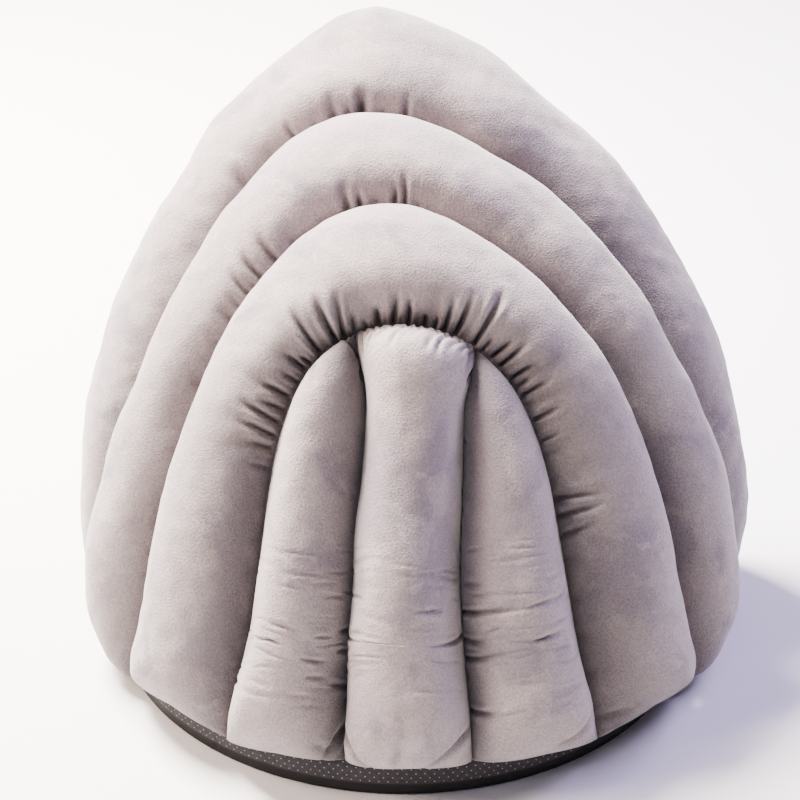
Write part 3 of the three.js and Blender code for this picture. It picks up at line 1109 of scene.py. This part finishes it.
@dataclass
class BasePad:
    """The round base: grip cloth down to its crest, a nearly black band of painted shade under it and
    velvet on top inside.

    Its outline runs from the floor out by floor_tuck to the crest, which stands crest_out past the
    radius at crest_height, and in over the shoulder by top_inset to the top. There a pad rises by
    pad_crown from pad_inset inside the edge, over pad_slope. The shoulder is a quarter ellipse with
    two powers of its own. points are the numbers of points on the floor, under the crest, over it and
    on the top, and hubs the radii at which the floor and the top close.

    The grip cloth is drawn in by seeded pleats, pleat deep and round pleat_height, spread as far up
    and down as pleat_spread and as far in as pleat_band, and by a few long waves. Its two ends are
    joined at joint_degrees round from the back, in a groove in the joint_band from joint_foot up.
    """

    name: str = "base_pad"
    step: float = 1.6
    radius: float = 179.0
    off_centre: float = -5.0
    crest_height: float = 9.0
    crest_out: float = 2.0
    floor_tuck: float = 3.0
    top_inset: float = 4.0
    shoulder: tuple[float, float] = (1.4, 1.1)
    pad_inset: float = 58.0
    pad_slope: float = 60.0
    pad_crown: float = 8.0
    points: tuple[int, int, int, int] = (22, 14, 18, 34)
    hubs: tuple[float, float] = (5.0, 4.0)

    pleat: float = 0.9
    pleats: int = 95
    pleat_seed: int = 5
    pleat_widths: tuple[float, float] = (2.0, 5.0)
    pleat_depths: tuple[float, float] = (0.3, 1.0)
    pleat_height: float = 17.0
    pleat_spread: float = 6.0
    pleat_band: float = 12.0
    waves: float = 9.0
    wave: float = 0.5
    wave_start: float = 1.0

    joint_degrees: float = -37.0
    joint_depth: float = 0.8
    joint_width: float = 0.9
    joint_band: float = 8.0
    joint_foot: float = 4.0

    # How far below the crest the band of painted shade ends, and how far below the top the velvet starts.
    painted_shade_band_edge: ClassVar[float] = 0.5
    velvet_edge: ClassVar[float] = 0.2

    def profile(self) -> tuple[np.ndarray, np.ndarray]:
        """Returns the radii and heights of the base's outline, from the floor's middle up to the top's."""
        on_floor, below, above, on_top = self.points
        crest = self.radius + self.crest_out
        low = np.linspace(0.0, math.pi / 2, below)
        under = crest - self.floor_tuck * (1.0 - np.sin(low))
        under_z = self.crest_height * (1.0 - np.cos(low))
        upper = np.linspace(0.0, math.pi / 2, above)[1:]
        inward, upward = self.shoulder
        over = crest - (self.top_inset + self.crest_out) * (1.0 - np.cos(upper)) ** inward
        over_z = self.crest_height + (BASE_HEIGHT - self.crest_height) * np.sin(upper) ** upward
        flat = np.linspace(self.hubs[0], under[0], on_floor)[:-1]
        top = np.linspace(self.radius - self.top_inset, self.hubs[1], on_top)[1:]
        top_z = BASE_HEIGHT + self.pad_crown * ease((self.radius - self.pad_inset - top) / self.pad_slope)
        radii = np.concatenate([flat, under, over, top])
        return radii, np.concatenate([np.zeros_like(flat), under_z, over_z, top_z])

    def round_from(self, angle: np.ndarray, place: float) -> np.ndarray:
        """Returns how far angles lie from a place on the circle, from -pi to pi."""
        return (angle - place + math.pi) % (2 * math.pi) - math.pi

    def sections(self) -> tuple[np.ndarray, np.ndarray, np.ndarray]:
        """Turns the outline round, with its pleats.

        Returns:
            The grid of rings in mm, the way round in mm and the way up the outline in mm.
        """
        radii, heights = self.profile()
        count = int(2 * math.pi * self.radius / self.step)
        angle = 2 * math.pi * np.arange(count) / count
        rng = np.random.default_rng(self.pleat_seed)
        pleats = np.zeros(count)
        for _ in range(self.pleats):
            centre = rng.uniform(0, 2 * math.pi)
            width = rng.uniform(*self.pleat_widths) / self.radius
            away = self.round_from(angle, centre)
            pleats += rng.uniform(*self.pleat_depths) * np.exp(-(away / width) ** 2)
        side = np.exp(-((heights - self.pleat_height) / self.pleat_spread) ** 2)
        side *= radii > self.radius - self.pleat_band
        away = self.round_from(angle, math.radians(self.joint_degrees - 90.0) % (2 * math.pi))
        joint = np.exp(-(away * self.radius / self.joint_width) ** 2)
        grooved = (radii > self.radius - self.joint_band) & (heights > self.joint_foot)
        out = -self.pleat * pleats[None, :] * side[:, None]
        out -= self.joint_depth * joint[None, :] * grooved[:, None]
        out += self.wave * np.sin(angle * self.waves + self.wave_start)[None, :] * side[:, None]
        radius = radii[:, None] + out
        grid = np.stack([
            self.off_centre + radius * np.cos(angle), radius * np.sin(angle),
            np.broadcast_to(heights[:, None], radius.shape),
        ], axis=-1)
        way = np.concatenate([[0.0], np.cumsum(np.hypot(np.diff(radii), np.diff(heights)))])
        return grid, angle * self.radius, way

    def chart(self, mesh: bpy.types.Mesh, round_mm: np.ndarray, up_mm: np.ndarray) -> None:
        """Lays the base's map in mm on its mesh: the way round against the way up the outline.

        Args:
            mesh: the base's mesh, whose faces between rings come first.
            round_mm: the way round to each point of a ring.
            up_mm: the way up to each ring.
        """
        corner = np.empty(len(mesh.loops), dtype=int)
        mesh.loops.foreach_get("vertex_index", corner)
        points, rings = len(round_mm), len(up_mm)
        places = np.stack([
            round_mm[corner % points], up_mm[np.minimum(corner // points, rings - 1)],
        ], axis=1)
        corners_each = 4
        at = np.arange((rings - 1) * points * corners_each)
        turn = 2 * math.pi * self.radius
        wrapped = (at // corners_each % points == points - 1) & (places[at, 0] < turn / 2)
        places[at, 0] += turn * wrapped
        mesh.uv_layers.new(name=CLOTH_MAP).data.foreach_set("uv", places.ravel())

    def dress(self, mesh: bpy.types.Mesh, points: int, cloths: dict[BaseCloth, bpy.types.Material]) -> None:
        """Gives each face its cloth.

        Args:
            mesh: the base's mesh.
            points: the number of points in a ring.
            cloths: the finish of each cloth.
        """
        for cloth in BaseCloth:
            mesh.materials.append(cloths[cloth])
        radii, heights = (values[:-1] for values in self.profile())
        # Rings under the crest take the nearly black cloth, painted shade.
        bound = (heights < self.crest_height - self.painted_shade_band_edge) & (radii > self.radius - self.floor_tuck)
        inside = (heights > BASE_HEIGHT - self.velvet_edge) & (radii < self.radius - self.top_inset)
        ring = np.full(len(radii), BaseCloth.GRIP, dtype=int)
        ring[bound] = BaseCloth.BINDING
        ring[inside] = BaseCloth.VELVET
        quads = len(ring) * points
        faces = np.full(len(mesh.polygons), BaseCloth.GRIP, dtype=int)
        faces[:quads] = np.repeat(ring, points)
        faces[quads + points:] = BaseCloth.VELVET
        mesh.polygons.foreach_set("material_index", faces)

    def build(self, grip: bpy.types.Material, painted_shade_band: bpy.types.Material,
              velvet: bpy.types.Material) -> bpy.types.Object:
        """Makes the base, dresses it and joins it to the frame.

        Args:
            grip: the dotted cloth.
            painted_shade_band: the nearly black cloth under the crest, painted shade for the shade under
                it.
            velvet: the cloth of the floor inside.

        Returns:
            The finished base.
        """
        grid, round_mm, up_mm = self.sections()
        piece = closed_mesh(self.name, grid)
        mesh = piece.data
        self.chart(mesh, round_mm, up_mm)
        self.dress(mesh, len(round_mm), {
            BaseCloth.GRIP: grip, BaseCloth.BINDING: painted_shade_band, BaseCloth.VELVET: velvet,
        })
        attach(piece, "root")
        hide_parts(self.name)
        log.info("%s: %d faces", self.name, len(mesh.polygons))
        return piece


@dataclass(frozen=True)
class Softbox:
    """A square area light, at a place in metres, with its side in metres, its power and its tint."""

    name: str
    place: tuple[float, float, float]
    size: float
    watts: float
    colour: str


@dataclass
class Studio:
    """A plain pale floor, soft light and the camera behind and above the bed.

    The camera looks down by elevation degrees at a point aim_height metres above the floor, distance
    metres away, and its lens and sensor are in mm. shift moves what it sees across and up, in pixels
    of a picture that is frame_pixels wide. The room gives little light of its own, and the camera
    sees a pale backdrop behind the floor, which lights nothing.
    """

    elevation: float = 30.6
    distance: float = 1.3
    aim_height: float = 0.150
    lens: float = 96.9
    sensor: float = 36.0
    near: float = 0.05
    frame_pixels: int = 800
    shift: tuple[float, float] = (-12.9, 6.4)
    floor_size: float = 5.0
    floor_colour: str = "#d4d4d4"
    floor_roughness: float = 0.9
    room_colour: str = "#f7f6fa"
    room_light: float = 0.06
    backdrop_colour: str = "#f4f4f5"
    backdrop_light: float = 2.6
    softboxes: tuple[Softbox, ...] = (
        Softbox("overhead", (-0.78, 0.75, 1.5), 0.75, 530.0, "#fff5ec"),
        Softbox("left", (-1.2, -0.25, 1.15), 0.7, 52.0, "#ffe4d0"),
        Softbox("right", (1.15, 0.65, 1.35), 0.9, 66.0, "#d3c4ff"),
        Softbox("rear", (-0.2, -1.0, 1.5), 1.0, 7.0, "#efe8ff"),
    )

    def camera(self) -> None:
        """Makes the camera at the photograph's viewing angle."""
        tilt = math.radians(self.elevation)
        ahead = Vector((0.0, math.cos(tilt), -math.sin(tilt)))
        data = bpy.data.cameras.new("camera")
        data.sensor_width = self.sensor
        data.lens = self.lens
        data.shift_x, data.shift_y = (pixels / self.frame_pixels for pixels in self.shift)
        data.clip_start = self.near
        camera = bpy.data.objects.new("camera", data)
        camera.location = Vector((0.0, 0.0, self.aim_height)) - ahead * self.distance
        camera.rotation_euler = ahead.to_track_quat("-Z", "Y").to_euler()
        bpy.context.scene.collection.objects.link(camera)
        bpy.context.scene.camera = camera

    def light(self, box: Softbox) -> None:
        """Adds a softbox, aimed at the bed."""
        data = bpy.data.lights.new(box.name, "AREA")
        data.size = box.size
        data.energy = box.watts
        data.color = linear(box.colour)[:3]
        light = bpy.data.objects.new(box.name, data)
        light.location = box.place
        aim = Vector((0.0, 0.0, self.aim_height)) - Vector(box.place)
        light.rotation_euler = aim.to_track_quat("-Z", "Y").to_euler()
        bpy.context.scene.collection.objects.link(light)

    def floor(self) -> None:
        """Lays the matt pale floor."""
        bpy.ops.object.select_all(action="DESELECT")
        bpy.ops.mesh.primitive_plane_add(size=self.floor_size, location=(0.0, 0.0, 0.0))
        floor = bpy.context.active_object
        floor.name = "floor"
        paint = bpy.data.materials.new("matt_white_floor")
        paint.use_nodes = True
        shader = paint.node_tree.nodes["Principled BSDF"]
        shader.inputs["Base Color"].default_value = linear(self.floor_colour)
        shader.inputs["Roughness"].default_value = self.floor_roughness
        floor.data.materials.append(paint)

    def room(self) -> None:
        """Fills the room with faint light, and puts the pale backdrop where only the camera sees it."""
        room = bpy.data.worlds.new("room")
        room.use_nodes = True
        tree = room.node_tree
        sky = tree.nodes["Background"]
        sky.inputs["Color"].default_value = linear(self.room_colour)
        sky.inputs["Strength"].default_value = self.room_light
        backdrop = add_node(tree, "ShaderNodeBackground", {}, {
            "Color": linear(self.backdrop_colour), "Strength": self.backdrop_light,
        })
        seen = add_node(tree, "ShaderNodeLightPath").outputs["Is Camera Ray"]
        both = add_node(tree, "ShaderNodeMixShader", {}, {
            0: seen, 1: sky.outputs["Background"], 2: backdrop.outputs["Background"],
        }).outputs["Shader"]
        tree.links.new(both, tree.nodes["World Output"].inputs["Surface"])
        bpy.context.scene.world = room

    def build(self) -> None:
        """Makes the floor, the room, its lights and the camera."""
        self.floor()
        self.room()
        for box in self.softboxes:
            self.light(box)
        self.camera()


def inner_gathers() -> list[Crease]:
    """Returns the deep gathers where the inner arch is drawn in round the back panel."""
    return gathers([
        (139, 142, 17, 1.4, 2.2), (151, 155, 19, 2.2, 2.0), (160, 166, 25, 3.8, 2.1),
        (169, 177, 27, 4.6, 2.2), (179, 180, 18, 3.4, 2.0), (189, 191, 21, 4.2, 2.3),
        (201, 203, 15, 2.6, 1.8), (212, 214, 18, 3.6, 2.1), (218, 218, 13, 2.8, 1.8),
        (228, 235, 33, 4.8, 2.3), (243, 250, 32, 5.6, 2.2), (249, 262, 30, 4.6, 1.9),
        (258, 264, 15, 3.2, 1.8), (268, 269, 10, 2.0, 1.8), (277, 280, 17, 3.2, 1.9),
        (288, 293, 25, 4.0, 2.2), (301, 300, 22, 4.2, 1.9), (314, 311, 13, 2.8, 1.8),
        (322, 321, 12, 2.0, 1.6), (329, 326, 25, 4.2, 2.0), (338, 336, 30, 4.8, 2.2),
        (354, 351, 38, 5.2, 2.4), (362, 362, 14, 2.2, 1.8), (371, 373, 19, 3.2, 1.9),
        (380, 380, 24, 3.8, 2.1), (392, 393, 21, 3.4, 2.0), (400, 400, 14, 2.0, 1.8),
        (407, 406, 23, 3.2, 2.2), (426, 423, 21, 2.6, 2.2), (441, 438, 16, 1.5, 2.2),
        (478, 477, 31, 2.0, 2.6), (489, 482, 30, 2.0, 2.4), (501, 493, 23, 1.8, 2.4),
        (594, 592, 26, 2.6, 2.2),
    ])


def middle_gathers() -> list[Crease]:
    """Returns the gathers of the middle arch's inner edge, on its left shoulder and at its top."""
    return gathers([
        (227, 224, 22, 1.6, 3.0), (236, 232, 24, 1.6, 2.4), (244, 241, 28, 3.4, 2.2),
        (250, 246, 22, 2.0, 2.0), (256, 251, 31, 3.8, 2.2), (268, 264, 32, 3.6, 2.4),
        (281, 279, 20, 1.4, 2.8), (299, 298, 18, 1.2, 2.4), (312, 315, 29, 3.4, 2.2),
        (319, 321, 23, 4.8, 1.7), (329, 329, 17, 1.4, 1.8), (339, 341, 23, 4.8, 1.8),
        (346, 346, 30, 4.4, 1.6), (355, 354, 18, 1.4, 2.0),
    ])


def rim_gathers() -> list[Crease]:
    """Returns the gathers of the rim arch's inner edge, a few small notches at its top."""
    return gathers([
        (279, 274, 26, 1.2, 4.0), (305, 301, 20, 1.0, 3.0), (324, 319, 23, 3.4, 1.9),
        (338, 336, 20, 1.0, 2.2), (350, 349, 29, 2.4, 3.0), (358, 358, 20, 2.6, 1.8),
        (364, 364, 29, 5.6, 1.9), (374, 374, 19, 2.6, 2.0), (387, 385, 27, 3.6, 1.9),
        (398, 397, 18, 1.0, 2.6),
    ])


def left_channel_creases() -> list[Crease]:
    """Returns the left channel's cross creases, its foot tuck and the folded flap at its top."""
    start, end = Edge.START, Edge.END
    return [
        Crease(start, 59, 35, 56, 52, 1.3, 1.2, open_start=False),
        Crease(end, 50, 48, 50, 27, 1.7, 1.2, bow=1.0, open_start=False),
        Crease(end, 66, 44, 67, 28, 1.2, 1.2, open_start=False),
        Crease(end, 70, 28, 70, 8, 1.4, 1.3, open_start=False),
        Crease(end, 57, 27, 57, 9, 1.2, 1.3, open_start=False),
        Crease(end, 39, 41, 41, 24, 1.6, 1.2, open_start=False),
        Crease(end, 37, 5, 38, 28, 1.6, 1.4),
        Crease(end, 3, 14, 19, 1, 3.4, 2.2, bow=-2.3),
        Crease(end, 9, 26, 5, 8, 1.6, 1.8, open_start=False),
        Crease(end, 232, 12, 210, 3, 3.2, 1.8, bow=-3.0),
        Crease(end, 222, 2, 205, 9, 2.4, 1.6),
        Crease(start, 214, 14, 204, 26, 1.2, 2.0),
    ]


def top_gathers() -> list[Crease]:
    """Returns the fine seeded gathers that run down from the centre channel's sewn top edge."""
    top, first, last, width, usual_slant = 237, 8.0, 84.0, 1.3, 2.0
    sizes, reaches, spacings = (0.25, 1.0), (0.7, 1.2), (4.0, 9.5)
    least_reach, more_reach = 5.0, 15.0
    least_depth, more_depth = 0.5, 1.5
    rng = np.random.default_rng(77)
    rows = []
    inset = first
    while inset < last:
        size = rng.uniform(*sizes)
        reach = least_reach + more_reach * size * rng.uniform(*reaches)
        slant = rng.normal() * usual_slant
        depth = least_depth + more_depth * size
        rows.append(Crease(Edge.START, top, inset, top - reach, inset + slant, depth, width))
        inset += rng.uniform(*spacings)
    return rows


def centre_channel_creases() -> list[Crease]:
    """Returns the centre channel's cross creases, its foot tucks and the gathers of its top edge."""
    start, end = Edge.START, Edge.END
    return [
        Crease(start, 92, 25, 90, 49, 1.3, 1.2, open_start=False),
        Crease(end, 87, 55, 88, 30, 1.8, 1.1, open_start=False),
        Crease(start, 72, 27, 73, 47, 1.2, 1.2, open_start=False),
        Crease(end, 73, 1, 67, 54, 1.6, 1.4, bow=-0.8),
        Crease(start, 70, 3, 65, 50, 1.4, 1.4, bow=-1.0),
        Crease(start, 108, 20, 112, 54, 0.8, 1.8, open_start=False),
        Crease(start, 3, 40, 11, 54, 2.2, 1.5),
        Crease(end, 2, 34, 19, 3, 3.2, 1.7, bow=-3.2),
        Crease(start, 2, 22, 18, 5, 3.4, 1.7, bow=-1.4),
        Crease(start, 9, 50, 22, 62, 1.0, 2.0, open_start=False),
        Crease(end, 226, 2, 214, 13, 2.6, 1.8),
        Crease(end, 232, 10, 218, 17, 1.4, 1.8),
        *top_gathers(),
    ]


def right_channel_creases() -> list[Crease]:
    """Returns the right channel's cross creases, the longest of them right across it."""
    start, end = Edge.START, Edge.END
    return [
        Crease(start, 80, 2, 83, 56, 2.4, 1.4),
        Crease(end, 82, 36, 85, 21, 1.2, 1.3, open_start=False),
        Crease(end, 81, 56, 84, 27, 1.5, 1.3, open_start=False),
        Crease(start, 69, 22, 74, 43, 1.3, 1.2, open_start=False),
        Crease(end, 61, 58, 66, 26, 1.8, 1.4, open_start=False),
        Crease(start, 65, 3, 65, 32, 1.6, 1.4),
        Crease(start, 54, 3, 59, 50, 2.0, 1.4, bow=-0.7),
        Crease(start, 96, 4, 97, 34, 0.9, 1.4, open_start=False),
        Crease(start, 27, 1, 24, 33, 1.8, 1.5),
        Crease(end, 5, 40, 18, 16, 2.4, 2.0, bow=2.6),
        Crease(end, 12, 14, 26, 5, 2.0, 1.8),
    ]


def strokes() -> dict[str, list[NapAndPaintedLightMark]]:
    """Returns the nap marks of each piece. Some are patches where the pile lies another way; others are
    painted shade, on the inner arch's left leg and over the centre and right channels, and painted
    light, at the top of the centre channel.
    """
    start, end = Edge.START, Edge.END
    return {
        "inner_arch": [
            # The first is painted shade on the inner flank of the left leg.
            NapAndPaintedLightMark(end, 139, 13, 41, 18, 15, 1.0), NapAndPaintedLightMark(end, 38, 50, 18, 50, 12, -0.8),
            NapAndPaintedLightMark(end, 313, 62, 336, 47, 10, -0.9), NapAndPaintedLightMark(end, 464, 26, 537, 34, 14, 0.5),
        ],
        "middle_arch": [
            NapAndPaintedLightMark(end, 377, 40, 442, 36, 13, 0.9), NapAndPaintedLightMark(end, 345, 48, 361, 50, 9, -0.8),
            NapAndPaintedLightMark(end, 60, 37, 105, 47, 12, -0.7), NapAndPaintedLightMark(end, 567, 10, 625, 14, 13, 0.6),
        ],
        "rim_arch": [
            NapAndPaintedLightMark(end, 436, 35, 519, 23, 14, 0.9), NapAndPaintedLightMark(start, 532, 38, 582, 70, 13, -0.8),
            NapAndPaintedLightMark(end, 185, 56, 210, 37, 6, 1.0), NapAndPaintedLightMark(end, 124, 47, 165, 49, 10, 0.6),
            NapAndPaintedLightMark(end, 331, 52, 358, 55, 12, -0.6),
        ],
        "centre_channel": [
            # Painted shade over the whole channel.
            NapAndPaintedLightMark(start, 60, 28, 190, 28, 34, 0.8),
            # The first is painted light at the channel's top.
            NapAndPaintedLightMark(start, 222, 12, 222, 72, 15, -1.2), NapAndPaintedLightMark(start, 165, 26, 105, 26, 18, 0.7),
            NapAndPaintedLightMark(end, 173, 39, 202, 27, 7, 1.0), NapAndPaintedLightMark(end, 158, 56, 140, 38, 6, 0.9),
            NapAndPaintedLightMark(start, 113, 51, 91, 49, 10, -0.8), NapAndPaintedLightMark(start, 208, 33, 167, 34, 9, -0.6),
        ],
        "right_channel": [
            # Painted shade over the whole channel.
            NapAndPaintedLightMark(start, 70, 26, 190, 22, 30, 1.0),
            # The second is painted shade as well.
            NapAndPaintedLightMark(end, 146, 45, 177, 18, 9, -0.8), NapAndPaintedLightMark(start, 131, 32, 190, 19, 15, 1.2),
            NapAndPaintedLightMark(start, 31, 39, 31, 63, 9, -0.7),
        ],
        "left_channel": [
            NapAndPaintedLightMark(start, 179, 30, 129, 42, 10, -0.6),
        ],
    }


def arches() -> list[StuffedPiece]:
    """Returns the three arches from the mouth to the back panel, with their gathers and puckers."""
    start, end = Edge.START, Edge.END
    # Each arch's inner flank is darkened by painted shade, widest on the inner arch.
    return [
        Arch(
            "rim_arch", outer=SEAMS[3], inner=SEAMS[2], crown=0.315, peak=0.48, end_painted_shade=(0.55, 32.0),
            lump=1.2, seed=3, creases=rim_gathers(), seeded=[
                Puckers(end, 60, 275, 19, 1.6, 24, 3.4, 31), Puckers(end, 410, 720, 27, 0.9, 18, 3.0, 32),
                Puckers(end, 90, 300, 38, 1.1, 55, 6.0, 33), Puckers(start, 60, 720, 21, 0.8, 12, 2.6, 34),
            ],
        ),
        Arch(
            "middle_arch", outer=SEAMS[2], inner=SEAMS[1], peak=0.47, end_painted_shade=(0.6, 36.0),
            seed=4, creases=middle_gathers(), seeded=[
                Puckers(end, 50, 222, 17, 1.6, 24, 3.0, 41), Puckers(end, 366, 660, 24, 1.0, 20, 2.8, 42),
                Puckers(end, 90, 260, 34, 1.1, 50, 5.5, 43), Puckers(start, 50, 660, 19, 0.8, 11, 2.4, 44),
            ],
        ),
        Arch(
            "inner_arch", outer=SEAMS[1], inner=SEAMS[0], peak=0.44, end_painted_shade=(0.66, 44.0), step=1.05,
            seed=5, creases=inner_gathers(), seeded=[
                Puckers(end, 30, 130, 24, 0.7, 14, 3.0, 51), Puckers(end, 440, 590, 16, 1.3, 22, 2.4, 52),
                Puckers(end, 150, 420, 24, 1.3, 52, 4.5, 53), Puckers(start, 40, 560, 17, 0.9, 11, 2.4, 54),
            ],
        ),
    ]


def channels() -> list[StuffedPiece]:
    """Returns the back panel's three channels from left to right, with their creases and wrinkles."""
    start, end = Edge.START, Edge.END
    # The flanks beside the channel seams are darkened by painted shade, most on the left channel's right
    # flank.
    return [
        Channel(
            "left_channel", place=Place.LEFT, peak=0.41, start_painted_shade=(0.1, 8.0), end_painted_shade=(0.97, 25.0),
            step=0.95, lump=0.9, seed=6, creases=left_channel_creases(), seeded=[
                Puckers(start, 10, 200, 15, 0.8, 8, 1.8, 61), Puckers(end, 10, 200, 14, 0.8, 9, 1.8, 62),
                Wrinkles(22, 112, 46, 0.95, 26, 0.9, 63),
            ],
        ),
        Channel(
            "centre_channel", place=Place.CENTRE, crown=0.43, roundness=2.25, end_rounding=34.0,
            start_painted_shade=(0.25, 14.0), end_painted_shade=(0.35, 9.0), step=0.95, lump=0.9, seed=7,
            creases=centre_channel_creases(), seeded=[
                Puckers(start, 10, 220, 14, 0.8, 9, 1.8, 71), Puckers(end, 10, 220, 14, 0.8, 9, 1.8, 72),
                Wrinkles(22, 118, 46, 0.8, 32, 0.9, 73),
            ],
        ),
        Channel(
            "right_channel", place=Place.RIGHT, start_painted_shade=(0.65, 15.0), end_painted_shade=(0.4, 12.0),
            step=0.95, lump=0.9, seed=8, creases=right_channel_creases(), seeded=[
                Puckers(start, 10, 200, 14, 0.8, 9, 1.8, 81), Puckers(end, 10, 200, 15, 0.8, 8, 1.8, 82),
                Wrinkles(20, 120, 48, 0.8, 32, 0.9, 83),
            ],
        ),
    ]


def main() -> None:
    """Builds the bed's pieces and the studio, and notes the sizes."""
    velvet = Velvet().material()
    nap_and_painted_light_marked = strokes()
    for piece in arches() + channels():
        piece.strokes = nap_and_painted_light_marked[piece.name]
        piece.build(velvet)
    BasePad().build(GripCloth().material(), PaintedShadeBandCloth().material(), velvet)
    Studio().build()


if __name__ == "__main__":
    logging.basicConfig(level=logging.INFO)
    main()
